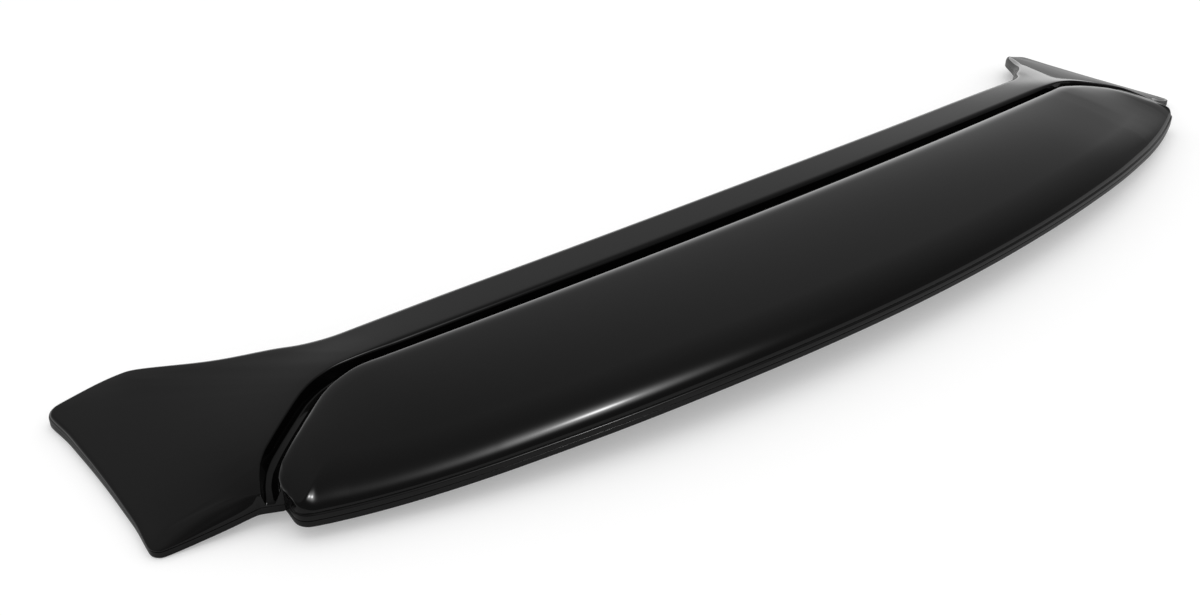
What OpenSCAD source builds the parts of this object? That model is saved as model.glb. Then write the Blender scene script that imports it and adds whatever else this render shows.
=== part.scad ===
/* [Outline seen from above] */
// Overall width across the two ears
span_w = 1246; // [1216:2:1300]
// Width of the blade at its rear corners
blade_w = 1092; // [960:2:1110]
// From each bend of the groove out to the end of the blade
bend_inset = 68; // [62:1:90]
// Width of the middle part that stays nearly level
level_w = 760; // [700:10:800]
// Front strip at the middle, from its front edge to the groove
strip_d = 45; // [38:1:60]
// Groove at the middle, from the strip to the blade
groove_w = 21; // [17:0.5:24]
// Groove at its two bends
groove_bend_w = 15; // [13:0.5:17]
// Blade at the middle, from the groove to the trailing edge
blade_d = 159; // [145:1:190]
// How far the ends of the trailing edge lie ahead of its middle
sweep = 91; // [80:1:96]
// How far the front edge curves forward towards the ears
strip_bow = 10; // [4:0.5:14]
// How far the ears reach ahead of the front strip
ear_reach = 105; // [80:1:125]
// Outer side of an ear, from front to back
ear_len = 199; // [176:1:206]

/* [Heights] */
// Underside of the front strip at the middle, above the feet of the ears
front_arch = 39; // [32:1:48]
// Underside of the trailing edge at the middle, above the feet of the ears
rear_arch = 27; // [20:1:34]
// Underside of the rear corners of the blade, above the feet of the ears
corner_h = 10; // [8:0.5:14]
// Underside at the open ends of the groove, above the feet of the ears
mouth_h = 9.5; // [8:0.5:12]
// Edge of the front strip and of the ears, from the underside to the top
edge_h = 14.5; // [13.5:0.5:18]
// How much lower the edge of an ear is at its rear corner
edge_fall = 5; // [3:0.5:5]
// How much higher the edge stands just before the ears
edge_crest = 2; // [0:0.5:3]
// Lower shell at its edge, from the underside up to the seam
seam_h = 5; // [4.5:0.5:6]
// Lip under the blade, from the underside up to the crease
lip_h = 10; // [9:0.5:11]
// How far the blade stands above the strip at the middle
blade_rise = 3; // [1:0.5:5]
// Crown of the blade between its front and rear edges
blade_crown = 3; // [1:0.5:5]
// Depth of the groove below the strip
groove_depth = 10.5; // [8.5:0.5:11.5]
// Height of the rolled trailing edge above the crease
roll_h = 20; // [17:1:22]

/* [Edges] */
// Depth of the rolled trailing edge, front to back
roll_d = 34; // [28:1:38]
// Rounding of the front edge and of the ears
edge_r = 8; // [6:0.5:8]
// Width of the lip beyond the blade
lip_w = 1.6; // [1.2:0.2:2.4]
// Run-out of the rolled edge beside each rear corner
roll_run = 75; // [50:5:90]
// Rounding of the strip where it turns into the groove
groove_r = 5; // [3:0.5:6]
// Rounding of the ears where they turn into the groove
ear_groove_r = 2.5; // [1.5:0.5:4]
// Soft rise of the blade behind its rounded front edge
blade_soft = 1.5; // [0.5:0.5:3]
// Rounding of the blade where it turns into the groove
blade_r = 4; // [3:0.5:5]
// Fillet at the bottom of the groove
fillet_r = 3.5; // [2.5:0.5:4]

/* [Shells] */
// Wall thickness of both shells
wall = 3; // [2.5:0.1:3.2]
// Bond line between the two shells
bond_gap = 0.3; // [0.2:0.05:0.5]
// Height of the locating rib of the lower shell above the seam
rib_h = 3; // [2:0.5:3.5]

/* [Fixings under the front strip] */
// Distance between the two inner bolts
bolts_inner = 300; // [200:10:400]
// Distance between the two outer bolts
bolts_outer = 800; // [600:10:820]
// From the front edge of the strip back to the bolts, at the middle
bolt_back = 24; // [20:1:27]
// Diameter of the boss around an insert
boss_d = 14; // [13:0.5:16]
// Height of a boss above its seat
boss_h = 13; // [12:0.5:13.5]
// How far the seat of a boss stands below the underside
seat_h = 1.3; // [1.1:0.1:2]
// Diameter of the bolt thread
thread_d = 6; // [5:1:6]
// Length of an insert
insert_l = 10; // [8:0.5:10.5]

/* [Hidden] */

half_w = span_w / 2;
ear_y = strip_d + ear_reach;
bend_x = blade_w / 2 - bend_inset;
front_bend_x = bend_x - 32;
run_x = front_bend_x - 36;
rear_y = -groove_w - blade_d;
mid_y = (ear_y - 1 + rear_y) / 2;
band = 12;

function mix(a, b, t) = a + (b - a) * t;
function clamp01(t) = max(0, min(1, t));
function ease(t) = let (c = clamp01(t)) c * c * (3 - 2 * c);
function unit(v) = v / norm(v);
function last(v) = v[len(v) - 1];
// A soft corner at b, starting the length l before it and ending the length l after it
function corner(a, b, c, l, n) =
    let (p = b + unit(a - b) * l, q = b + unit(c - b) * l)
    [for (j = [0:n]) let (t = j / n) (1 - t) * (1 - t) * p + 2 * t * (1 - t) * b + t * t * q];
function sums(p, i = 0, s = 0) =
    i == len(p) - 1 ? [s] : concat([s], sums(p, i + 1, s + norm(p[i + 1] - p[i])));
function along(p, c, s) =
    [lookup(s, [for (i = [0:len(p) - 1]) [c[i], p[i][0]]]),
     lookup(s, [for (i = [0:len(p) - 1]) [c[i], p[i][1]]])];

// Open ends of the groove: all four guide lines run out on one straight cut
mouth = [blade_w / 2 + 9, -59];
mouth_dir = unit([-10.5, -5.5]);
mouth_w = 12;

// Front outline of one half, drawn a distance f inside the edge
function strip_y(x) = strip_d + strip_bow * pow(x / front_bend_x, 2);
function edge_x(y) = let (u = 2 * (y - ear_y) / ear_len + 1) half_w - 4 + 3.4 * u * u - 1.5 * u;
function outline(f, rb, ra, rc) =
    let (q = [front_bend_x + 4, strip_y(front_bend_x)], b = [blade_w / 2 + 25, ear_y - 4], a = [edge_x(ear_y), ear_y],
         c = [edge_x(ear_y - ear_len), ear_y - ear_len + 3], e = mouth - mouth_dir * 1.4,
         q1 = q + [0.4, -1] * f, n = [-0.2, 0.98] * f, b1 = b + [0.28, -1] * f * 1.02, a1 = a + [-1, -1] * f,
         c1 = c + [-1, 1] * f,
         bend_run = corner([run_x, strip_y(run_x) - f], q1, b1, 30, 4), tip_run = corner(q1, b1, a1, rb, 4))
    concat(
        [for (j = [0:6]) let (x = run_x * j / 6) [x, strip_y(x) - f]],
        bend_run,
        [for (t = [0.33, 0.67]) mix(last(bend_run), tip_run[0], t) + [1.9, -2.6] * (t < 0.5 ? 1.4 : 1)],
        tip_run, corner(b1, a1, c1, ra, 4),
        [for (j = [1:7]) let (t = j / 8, y = mix(a1[1] - ra, c1[1] + rc, t)) [edge_x(y) - f, y]],
        corner(a1, c1, e + n, rc, 3),
        [for (j = [1:3]) mix(c + unit(e - c) * 8, e, [0.45, 0.75, 0.93][j - 1]) + n * [0.92, 0.72, 0.42][j - 1]],
        [f == 0 ? e : mouth - mouth_dir * 0.7]);
edge_line = outline(0, 18, 11, 8);
band_line = outline(band, 9, 2.5, 2);
count = len(edge_line) - 1;
band_sum = sums(band_line);
// Share of the way round the ear, from the bend of the groove to its open end
turn_i = 6;
function share(i) = clamp01((band_sum[i] - band_sum[turn_i]) / (band_sum[count] - band_sum[turn_i]));

// A guide line: along the strip with the front outline, then round the bend to the open end
function follow(i, p, c, s0) = i <= turn_i
    ? along(p, c, s0 * i / turn_i)
    : along(p, c, mix(s0, last(c), share(i)));

// Groove edge of the strip and of the ear
bend = [bend_x, 9];
elbow = [blade_w / 2 - 2, -37];
strip_line = concat(
    [for (j = [0:12]) let (x = (bend[0] - 28) * j / 12) [x, bend[1] * pow(x / bend[0], 2)]],
    corner([bend[0] - 28, 8], bend, elbow, 25, 8), corner(bend, elbow, mouth, 11, 5), [mouth]);
strip_sum = sums(strip_line);
// Groove edge of the blade
bend_in = bend - groove_bend_w * [0.8, 0.68];
elbow_in = [blade_w / 2 - 8, -50.5];
mouth_in = mouth + mouth_dir * mouth_w;
blade_line = concat(
    [for (j = [0:12]) let (x = (bend_in[0] - 32) * j / 12)
        [x, -groove_w + (groove_w + bend_in[1]) * pow(x / bend_in[0], 2)]],
    corner([bend_in[0] - 32, bend_in[1] - 2], bend_in, elbow_in, 27, 8),
    corner(bend_in, elbow_in, mouth_in, 7, 4), [mouth_in]);
blade_sum = sums(blade_line);
strip_start = strip_sum[12] * run_x / (bend[0] - 28);
blade_start = blade_sum[12] * (run_x - 5) / (bend_in[0] - 32);
// Trailing edge and rear corner of the blade, drawn a distance f inside the edge
function trail_y(x) = let (s = x / (blade_w / 2)) rear_y + sweep * (0.79 * s * s + 0.21 * pow(s, 4));
function rear_line(f, g, l) =
    let (x1 = blade_w / 2 - g, e = [x1, trail_y(x1) + f],
         m = mouth_in + mouth_dir * (f == 0 ? 1.7 : 0.6))
    concat([for (j = [0:16]) let (x = (x1 - l - 4) * j / 16) [x, trail_y(x) + f]],
        corner([x1 - 20, trail_y(x1 - 20) + f], e, m, l, 6), [m]);
rim_line = rear_line(0, 0, 10);
roll_line = rear_line(roll_d, 24, 4);
rim_sum = sums(rim_line);
roll_sum = sums(roll_line);
// Both are walked with the same marks: the bend, the start and the end of the rear corner;
// the rim reaches its end, which is an inner corner, one section before the roll
function rear_s(i, c, m = 0.999) = let (k0 = c[16] * run_x / (blade_w / 2 - 14))
    i <= turn_i ? k0 * i / turn_i
    : lookup(share(i), [[0, k0], [0.58, c[16]], [0.8, c[23]], [m, last(c) - 0.01], [1, last(c)]]);
// The roll fades away over its run-out as it nears the rear corner
function fullness(i) = sin(90 * clamp01((rim_sum[20] - rear_s(i, rim_sum)) / roll_run));

// Corner points of section i as seen from above: edge, band, groove edges, roll, rim
function plan(i) =
    let (rim = along(rim_line, rim_sum, rear_s(i, rim_sum, 0.98)))
    [edge_line[i], band_line[i],
     follow(i, strip_line, strip_sum, strip_start),
     follow(i, blade_line, blade_sum, blade_start),
     mix(rim, along(roll_line, roll_sum, rear_s(i, roll_sum)), max(0.12, fullness(i))), rim];

// Heights
function under(x) = let (d = max(0, x - level_w / 2) / (half_w - level_w / 2))
    max(0, front_arch * (1 - pow(x / half_w, 2) / 3 - d * d * 2 / 3));
function rim_z(x) = let (t = x / (blade_w / 2))
    rear_arch - (rear_arch - corner_h) * (2 * pow(t, 3.5) - pow(t, 8));
strip_z = front_arch + edge_h + 1.5;
mouth_z = mouth_h + edge_h + 1;
// Fall of a groove edge from the middle to its open end
function fall(x, top, x1, bow) = let (t = clamp01((x - run_x - 20) / (x1 - run_x - 20)))
    top - bow * pow(x / x1, 2) - (top - bow - mouth_z) * (0.75 * t * t + 0.25 * pow(t, 14));
side_i = count - 15;
rear_i = count - 7;
// Height of the edge at section i: full along the front, falling along the outer side of the
// ear, and full again a little way along its rear edge
function edge_at(i) =
    let (x = edge_line[i][0], u = pow(min(1, x / (blade_w / 2 - 1)), 3),
         t = clamp01((i - side_i) / (rear_i - side_i)))
    edge_h + edge_crest * 4 * u * (1 - u)
        - edge_fall * (i > rear_i ? ease((x - blade_w / 2 - 36) / 32) : t * (1.5 - 0.5 * t));
// All that a section needs: plan points, lengths along it, heights of its corner points
function station(i) =
    let (p = plan(i), c = sums(p), s1 = last(c), h = share(i),
         zo = i < rear_i ? under(p[0][0])
            : mouth_h * pow(clamp01((half_w - 3 - p[0][0]) / (half_w - 3 - mouth[0])), 1.3),
         zr = mix(rim_z(min(p[5][0], blade_w / 2)), mouth_h, ease((h - 0.8) / 0.2)),
         left = last(strip_sum) - mix(strip_start, last(strip_sum), h),
         round_off = 1 - sqrt(1 - pow(1 - clamp01(left / 16), 2)),
         zs_main = fall(p[2][0], strip_z, mouth[0], 3.7),
         zs = zs_main - 4.5 * round_off,
         zb = fall(p[3][0], strip_z + blade_rise, mouth_in[0], 9.4) - 4.5 * round_off,
         zroll = zr + lip_h + mix(1 + 3 * clamp01((h - 0.8) / 0.2), roll_h, fullness(i)),
         solid = clamp01((i - (count - 4)) / 2),
         floor_z = zs_main - groove_depth * (1 - 0.2 * h * h))
    [p, c, zo, zr, zs, zb, zroll, floor_z, solid, zo + edge_at(i) - 3.4 * round_off, i];

// Soft forms that the top and the underside of the frame follow between their edges
function top_form(x, y) = let (u = x / half_w, d = max(0, x - level_w / 2) / (half_w - level_w / 2))
    (5.4 * d * d - 2.7) * y / 100 - front_arch * (0.2 * u * u + 0.915 * d * d);
function low_form(x, y) = let (u = x / half_w)
    under(x) + (front_arch - rear_arch) * (1 + 2.2 * u * u - 3.2 * pow(u, 6)) * (y - strip_d) / 225;
// Top of the strip and the ears
function top_z(st, s) =
    let (r = min(edge_r, st[1][1] * 0.8), q = along(st[0], st[1], s), f = along(st[0], st[1], r),
         g = st[0][2], t = 1 - pow(max(0, 1 - (s - r) / (st[1][2] - r)), 1.6))
    top_form(q[0], q[1]) + mix(st[9] - top_form(f[0], f[1]), st[4] - top_form(g[0], g[1]), t);
// Top of the blade before its edges are rolled
function crown_at(st) = blade_crown * clamp01((st[1][4] - st[1][3]) / 90);
function soft_at(st) = blade_soft * clamp01((st[1][4] - st[1][3]) / 60);
function blade_z(st, s) =
    let (c = st[1], t = (s - c[3]) / (c[4] - c[3]))
    mix(st[5], st[6], t) + crown_at(st) * 4 * t * (1 - t)
        + soft_at(st) * (1 - pow(clamp01(1 - (s - c[3]) / 14), 2)) * (1 - t);

function at(st, k, d) = let (p = st[0], c = st[1]) along(p, c, clamp01((c[k] + d) / last(c)) * last(c));
function low_z(st, s) =
    let (q = along(st[0], st[1], s), t = s / last(st[1]), a = st[0][0], b = st[0][5])
    low_form(q[0], q[1]) + mix(st[2] - low_form(a[0], a[1]), st[3] - low_form(b[0], b[1]), t);
function seam_z(st, s) = mix(st[2], st[3], s / last(st[1])) + seam_h;
function put(st, s, z) = let (q = along(st[0], st[1], s)) [q[0], q[1] - mid_y, z];

// Upper shell: outer face from the front seam over the top to the rear seam, then back inside
function upper(st) =
    let (c = st[1], s1 = last(c), zo = st[2], zr = st[3], zs = st[4], zb = st[5], zt = st[6],
         fz = st[7], e = st[8], g = c[3] - c[2],
         lo = zo + seam_h + bond_gap, lr = zr + seam_h + bond_gap,
         tz = st[9], h = share(st[10]),
         er = min(edge_r, c[1] * 0.8), eh = min(edge_r, top_z(st, 0) - lo - 1),
         rs = min(mix(groove_r, ear_groove_r, clamp01(3 * h)), (zs - fz) * 0.45, (c[2] - c[1]) * 0.45), rb = min(blade_r, (zb - fz) * 0.45, (c[4] - c[3]) * 0.9),
         rf = min(fillet_r, g * 0.24, (zs - fz) * 0.4),
         cz = zr + lip_h, lw = min(lip_w, (s1 - c[4]) * 0.3), rd = s1 - lw - c[4],
         crown = crown_at(st), bl = c[4] - c[3],
         tilt = max(-0.5, min(0, (zt - zb - 4 * crown - soft_at(st)) / bl)), rise = zt + tilt * rd - cz,
         outer = concat(
            [[0, lo], [0, top_z(st, 0) - eh]],
            [for (j = [1:4]) let (a = 90 * j / 4, s = er * (1 - cos(a))) [s, top_z(st, s) - eh * (1 - sin(a))]],
            [[c[1], top_z(st, c[1])]],
            [for (t = [0.3, 0.62]) let (s = mix(c[1], c[2] - rs * 0.8, t)) [s, top_z(st, s)]],
            [for (j = [0:3]) let (a = 90 * j / 3, s = c[2] - rs * 0.8 + rs * sin(a))
                [s, top_z(st, min(s, c[2])) - rs * (1 - cos(a))]],
            [for (j = [0:3]) let (a = 90 * j / 3)
                [c[2] + rs * 0.2 + 0.5 + rf * (1 - cos(a)), fz + rf * (1 - sin(a))]],
            [for (j = [0:3]) let (a = 90 * j / 3)
                [c[3] - rb * 0.5 - 0.4 - rf * (1 - sin(a)), fz + rf * (1 - cos(a))]],
            [for (j = [0:3]) let (a = 90 * j / 3, s = c[3] - rb * 0.5 + rb * (1 - cos(a)))
                [s, blade_z(st, max(s, c[3])) - rb * (1 - sin(a))]],
            [for (t = [0.12, 0.4, 0.7]) let (s = mix(c[3] + rb * 0.5, c[4], t)) [s, blade_z(st, s)]],
            [for (j = [0:7]) let (a = 90 * j / 7) [c[4] + rd * sin(a), zt + tilt * rd * sin(a) - rise * (1 - cos(a))]],
            [[s1 - lw * 0.25, cz - 0.1], [s1, cz - 1.2], [s1, lr]]),
         w = wall, k = s1,
         w1 = min(w, c[1] * 0.3), w2 = min(w, (s1 - c[4]) * 0.25),
         closed = [s1 - w2, mix(c[4], s1, 0.6), mix(c[4], s1, 0.3), c[4], mix(c[3], c[4], 0.5), c[3],
            mix(c[2], c[3], 0.85), mix(c[2], c[3], 0.6), mix(c[2], c[3], 0.4), mix(c[2], c[3], 0.15),
            c[2], mix(c[1], c[2], 0.5), c[1], c[1] * 0.6, w1],
         inner = [
            [s1 - w, lr, lr], [s1 - w - 0.3, cz - w, lr],
            [min(c[4] + rd * 0.75, s1 - w - 2), cz + rise * 0.66 - w * min(1.3, 0.6 + rise * 0.07), lr],
            [min(c[4] + rd * 0.35, s1 - w - 4), cz + rise * 0.93 - w * 1.1, lr],
            [mix(c[3] + w, min(c[4], s1 - w - 6), 0.6), blade_z(st, mix(c[3] + w, c[4], 0.6)) - w, 0],
            [c[3] + rb * 0.5 + w, blade_z(st, c[3] + rb * 0.5 + w) - w * 1.1, 0],
            [c[3] + w * 0.8, fz - w * 0.6, 0], [c[3] - 1.5, fz - w, 0], [c[2] + 1.5, fz - w, 0],
            [c[2] - w * 0.8, fz - w * 0.6, 0],
            [c[2] - rs * 0.6 - w, top_z(st, c[2] - rs * 0.6 - w) - w * 1.1, 0],
            [mix(c[1], c[2] - rs - w, 0.5), top_z(st, mix(c[1], c[2] - rs - w, 0.5)) - w, 0],
            [er + 1, max(top_z(st, er + 1) - w, lo + 1), 0], [w + 0.3, max(tz - w - 3, lo + 0.6), 0], [w, lo, lo]])
    concat(
        [for (q = outer) put(st, q[0], q[1])],
        [for (j = [0:len(inner) - 1]) let (q = inner[j],
            s = mix(q[0], closed[j], e))
            put(st, s, mix(q[1], seam_z(st, s) + bond_gap, e))]);

// Lower shell: edge, underside and edge, then back over the locating ribs and the inner face
function lower(st) =
    let (c = st[1], s1 = last(c), zo = st[2], zr = st[3], e = st[8], w = wall,
         sl = function(s) mix(zo, zr, s / s1) + seam_h, r = 1.3, a = w + bond_gap,
         under_s = [c[1], c[2], c[3], mix(c[3], c[4], 0.5), c[4]],
         outer = concat(
            [[0, sl(0)], [0, zo + r], [r, zo]],
            [for (s = under_s) let (q = clamp01((s - 2 * r) / (s1 - 4 * r)))
                let (sq = 2 * r + q * (s1 - 4 * r)) [sq, low_z(st, sq)]],
            [[s1 - r, zr], [s1, zr + r], [s1, sl(s1)]]),
         inner = concat(
            [[s1 - a, 0, 0], [s1 - a - 0.3, rib_h, 0], [s1 - a - 1.5, rib_h, 0], [s1 - a - 1.9, -1, 1]],
            [for (j = [1:4]) [[min(c[4], s1 - a - 4), c[3], c[2], c[1]][j - 1], -1, 1]],
            [[a + 1.9, -1, 1], [a + 1.5, rib_h, 0], [a + 0.3, rib_h, 0], [a, 0, 0]]),
         n = len(inner) - 1, w1 = min(w, c[1] * 0.3), w2 = min(w, (s1 - c[4]) * 0.25),
         closed = [s1 - w2, mix(c[4], s1, 0.6), mix(c[4], s1, 0.45), mix(c[4], s1, 0.3), c[4], c[3],
            c[2], c[1], c[1] * 0.7, c[1] * 0.6, c[1] * 0.45, w1])
    concat(
        [for (q = outer) put(st, q[0], q[1])],
        [for (j = [0:n]) let (q = inner[j], s = mix(q[0], closed[j], e),
            z = q[2] == 1 ? low_z(st, s) + w : sl(s) + q[1])
            put(st, s, j == 0 || j == n ? sl(s) : mix(z, seam_z(st, s), e))]);

// Which diagonal splits a patch a, b, d, c: neither half may fold over, then the shorter one
function flat(a, b, c) = (b[0] - a[0]) * (c[1] - a[1]) - (b[1] - a[1]) * (c[0] - a[0]);
function first_cut(a, b, c, d) =
    let (g = flat(a, b, d) + flat(a, d, c) > 0 ? 1 : -1,
         m1 = min(g * flat(a, b, d), g * flat(a, d, c)), m2 = min(g * flat(a, b, c), g * flat(b, d, c)))
    min(m1, m2) < -0.01 ? m1 > m2 : norm(a - d) < norm(b - c);
// A shell from one open end of the groove to the other
module skin(rings) {
    n = len(rings[0]);
    m = len(rings);
    mirrored = [for (i = [m - 1:-1:1]) [for (q = rings[i]) [-q[0], q[1], q[2]]]];
    all = concat(mirrored, rings);
    k = len(all);
    polyhedron(
        points = [for (r = all) for (q = r) q],
        faces = concat(
            [for (i = [0:k - 2]) for (j = [0:n - 1])
                let (b = (j + 1) % n, v = [i * n + j, i * n + b, (i + 1) * n + j, (i + 1) * n + b])
                for (f = first_cut(all[i][j], all[i][b], all[i + 1][j], all[i + 1][b])
                    ? [[0, 1, 3], [0, 3, 2]] : [[0, 1, 2], [1, 3, 2]]) [for (q = f) v[q]]],
            [[for (j = [n - 1:-1:0]) j]],
            [[for (j = [0:n - 1]) (k - 1) * n + j]]),
        convexity = 8);
}

stations = [for (i = [0:count]) station(i)];

module upper_shell() {
    color("#141518") skin([for (st = stations) upper(st)]);
}

// Height of the underside over a point of the front strip
function strip_under(x, y) = let (f = strip_y(x))
    mix(under(x), rim_z(x), (f - y) / (f - trail_y(x)));
// The four bolt places, each on the seat of its boss
bolts = [for (w = [bolts_inner, bolts_outer]) for (s = [-1, 1]) let (y = strip_d - bolt_back)
    [s * w / 2, y - mid_y, strip_under(w / 2, y) - seat_h]];
insert_d = thread_d + 2.4;
head_d = thread_d + 4.5;
head_h = 1;
press_gap = 0.05;

module lower_shell() {
    color("#232529") difference() {
        union() {
            skin([for (st = stations) lower(st)]);
            for (b = bolts) translate(b) cylinder(h = boss_h, d = boss_d, $fn = 32);
        }
        for (b = bolts) translate(b + [0, 0, -1])
            cylinder(h = insert_l + 1.4, d = insert_d + 2 * press_gap, $fn = 32);
        // Room for each head, where the underside hangs lower than its seat
        for (b = bolts) translate(b - [0, 0, 2 * boss_h])
            cylinder(h = 2 * boss_h, d = head_d + 1, $fn = 32);
    }
}

// Threaded metal inserts, pushed into the bosses up to their heads
module threaded_inserts() {
    color("#b9a36a") for (b = bolts) translate(b) difference() {
        union() {
            cylinder(h = insert_l, d = insert_d, $fn = 48);
            translate([0, 0, -head_h]) cylinder(h = head_h, d = head_d, $fn = 48);
        }
        translate([0, 0, -head_h - 1]) cylinder(h = insert_l + head_h + 2, d = thread_d, $fn = 48);
    }
}

upper_shell();
lower_shell();
threaded_inserts();
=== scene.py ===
import math
import bpy
import numpy as np
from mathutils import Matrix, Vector


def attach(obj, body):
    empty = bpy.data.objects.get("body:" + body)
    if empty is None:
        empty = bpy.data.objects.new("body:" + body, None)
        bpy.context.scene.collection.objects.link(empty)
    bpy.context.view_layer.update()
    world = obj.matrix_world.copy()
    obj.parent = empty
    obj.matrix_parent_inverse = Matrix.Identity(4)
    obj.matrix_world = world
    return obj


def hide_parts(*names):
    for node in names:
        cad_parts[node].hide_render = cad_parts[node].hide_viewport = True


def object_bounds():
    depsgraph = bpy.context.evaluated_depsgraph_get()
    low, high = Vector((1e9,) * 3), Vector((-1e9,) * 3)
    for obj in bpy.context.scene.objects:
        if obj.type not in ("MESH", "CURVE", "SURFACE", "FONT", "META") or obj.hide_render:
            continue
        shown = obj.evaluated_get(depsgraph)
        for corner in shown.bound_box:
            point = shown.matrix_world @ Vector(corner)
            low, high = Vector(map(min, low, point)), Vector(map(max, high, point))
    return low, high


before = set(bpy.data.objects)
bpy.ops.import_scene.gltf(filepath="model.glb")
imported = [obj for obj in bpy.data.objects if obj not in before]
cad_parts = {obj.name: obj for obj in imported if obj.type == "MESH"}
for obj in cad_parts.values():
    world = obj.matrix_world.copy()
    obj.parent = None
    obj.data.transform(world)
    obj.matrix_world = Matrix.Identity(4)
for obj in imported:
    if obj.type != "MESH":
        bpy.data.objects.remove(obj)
cadLow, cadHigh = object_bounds()
scene = bpy.context.scene
scene.view_settings.view_transform = "Standard"
millimetre = 0.001
print("frame loaded:", len(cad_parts), "nodes")


def mix(a, b, t):
    # From a to b as t goes from 0 to 1
    return a + (b - a) * t


def clamp(t):
    # Held between 0 and 1
    return np.clip(t, 0, 1)


def ease(t):
    # From 0 to 1 as t does, level at both ends: three squares less two cubes
    return clamp(t) ** 2 * (3 - 2 * clamp(t))


def unit(v):
    # A vector divided by its length
    return v / np.hypot(*v)


def softCorner(a, b, c, cut, steps):
    # The parabola that takes the place of the corner b, from the length cut before it to as far behind it
    a, b, c = np.array(a, float), np.array(b, float), np.array(c, float)
    p, q = b + unit(a - b) * cut, b + unit(c - b) * cut
    t = np.linspace(0, 1, steps + 1)[:, None]
    return (1 - t) ** 2 * p + 2 * t * (1 - t) * b + t * t * q


def lengths(path):
    # Length of a path up to each of its points
    return np.concatenate([[0], np.cumsum(np.hypot(*np.diff(path, axis=0).T))])


def along(path, sums, s):
    # The points that lie the lengths s along a path
    return np.stack([np.interp(s, sums, path[:, 0]), np.interp(s, sums, path[:, 1])], -1)


# Plan of one half in millimetres, with the sizes of the fixed frame: x runs out from the middle of the
# span, and y forward from the front side of the groove
outline = {"span": 1246, "blade": 1092, "bladeDepth": 159, "sweep": 91, "sweepSquare": 0.79, "strip": 45,
           "stripBow": 10, "bendInset": 68, "frontLead": 32, "bendRun": 36, "level": 760}
# The ears: their size, their corners, how far before each corner its parabola starts (tip, front, rear),
# the band, a line that far inside the edge, and where and over what length the rear edge starts to fall
ear = {"reach": 105, "length": 199, "tipShort": 1, "sideInset": 4, "sideBow": 3.4, "sideSlant": 1.5,
       "bendOut": 4, "bendCut": 30, "tipOut": 25, "tipBack": 4, "hollow": (1.9, -2.6), "rearShort": 3,
       "cuts": (18, 11, 8), "band": 12, "bandCuts": (9, 2.5, 2), "rearFall": (36, 32)}
# The groove: its bend, its elbow beside the ear and its open end, for its front side and its blade side
groove = {"width": 21, "bendWidth": 15, "bendY": 9, "elbow": (2, 37), "bladeElbow": (8, 50.5),
          "mouth": (9, 59), "mouthRun": (-10.5, -5.5), "mouthWidth": 12,
          "lead": 28, "drop": 1, "cuts": (25, 11), "bladeLead": 32, "bladeDrop": 2, "bladeCuts": (27, 7),
          "bladeShort": 5}

halfSpan, halfBlade = outline["span"] / 2, outline["blade"] / 2
earY = outline["strip"] + ear["reach"]  # front corners of the ears
rearY = -groove["width"] - outline["bladeDepth"]  # trailing edge in the middle
midY = (earY - ear["tipShort"] + rearY) / 2  # middle of the frame's box
bendX = halfBlade - outline["bendInset"]  # where the groove turns back
frontBend = bendX - outline["frontLead"]  # where the front edge turns forward
runX = frontBend - outline["bendRun"]  # end of the straight run
mouth = np.array([halfBlade + groove["mouth"][0], -groove["mouth"][1]])
mouthDir = unit(np.array(groove["mouthRun"]))


def stripY(x):
    # Front edge of the strip: a shallow square bow
    return outline["strip"] + outline["stripBow"] * (x / frontBend) ** 2


def edgeX(y):
    # Outer side of an ear: a square bow and a slant over its length
    u = 2 * (y - earY) / ear["length"] + 1
    return halfSpan - ear["sideInset"] + ear["sideBow"] * u * u - ear["sideSlant"] * u


def trailY(x):
    # Trailing edge: swept forward as a square and a fourth power
    s, square = x / halfBlade, outline["sweepSquare"]
    return rearY + outline["sweep"] * (square * s * s + (1 - square) * s ** 4)


def frontOutline(inside, tipCut, frontCut, rearCut):
    # Front outline of one half, a distance inside the edge, as a list of parts: strip, bend, slightly
    # hollow diagonal, tip of the ear, front corner, outer side, rear corner, rear edge and its open end
    bendAt = np.array([frontBend + ear["bendOut"], stripY(frontBend)]) + np.array([0.4, -1]) * inside
    tipAt = np.array([halfBlade + ear["tipOut"], earY - ear["tipBack"]])
    tipAt = tipAt + np.array([0.28, -1]) * inside * 1.02
    frontAt = np.array([edgeX(earY), earY]) - inside
    corner = np.array([edgeX(earY - ear["length"]), earY - ear["length"] + ear["rearShort"]])
    rearAt = corner + np.array([-1, 1]) * inside
    tail, inward = mouth - mouthDir * 1.4, np.array([-0.2, 0.98]) * inside
    x = np.linspace(0, runX, 7)
    strip = np.stack([x, stripY(x) - inside], -1)
    bend = softCorner(strip[-1], bendAt, tipAt, ear["bendCut"], 4)
    tip = softCorner(bendAt, tipAt, frontAt, tipCut, 4)
    diagonal = mix(bend[-1], tip[0], np.array([[0.33], [0.67]])) + np.array([[1.4], [1.0]]) * ear["hollow"]
    y = mix(frontAt[1] - frontCut, rearAt[1] + rearCut, np.arange(1, 8) / 8)
    side = np.stack([edgeX(y) - inside, y], -1)
    rear = mix(corner + unit(tail - corner) * 8, tail, np.array([[0.45], [0.75], [0.93]]))
    end = tail if inside == 0 else mouth - mouthDir * 0.7
    return [strip, bend, diagonal, tip, softCorner(tipAt, frontAt, rearAt, frontCut, 4), side,
            softCorner(frontAt, rearAt, tail + inward, rearCut, 3),
            rear + inward * [[0.92], [0.72], [0.42]], [end]]


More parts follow.
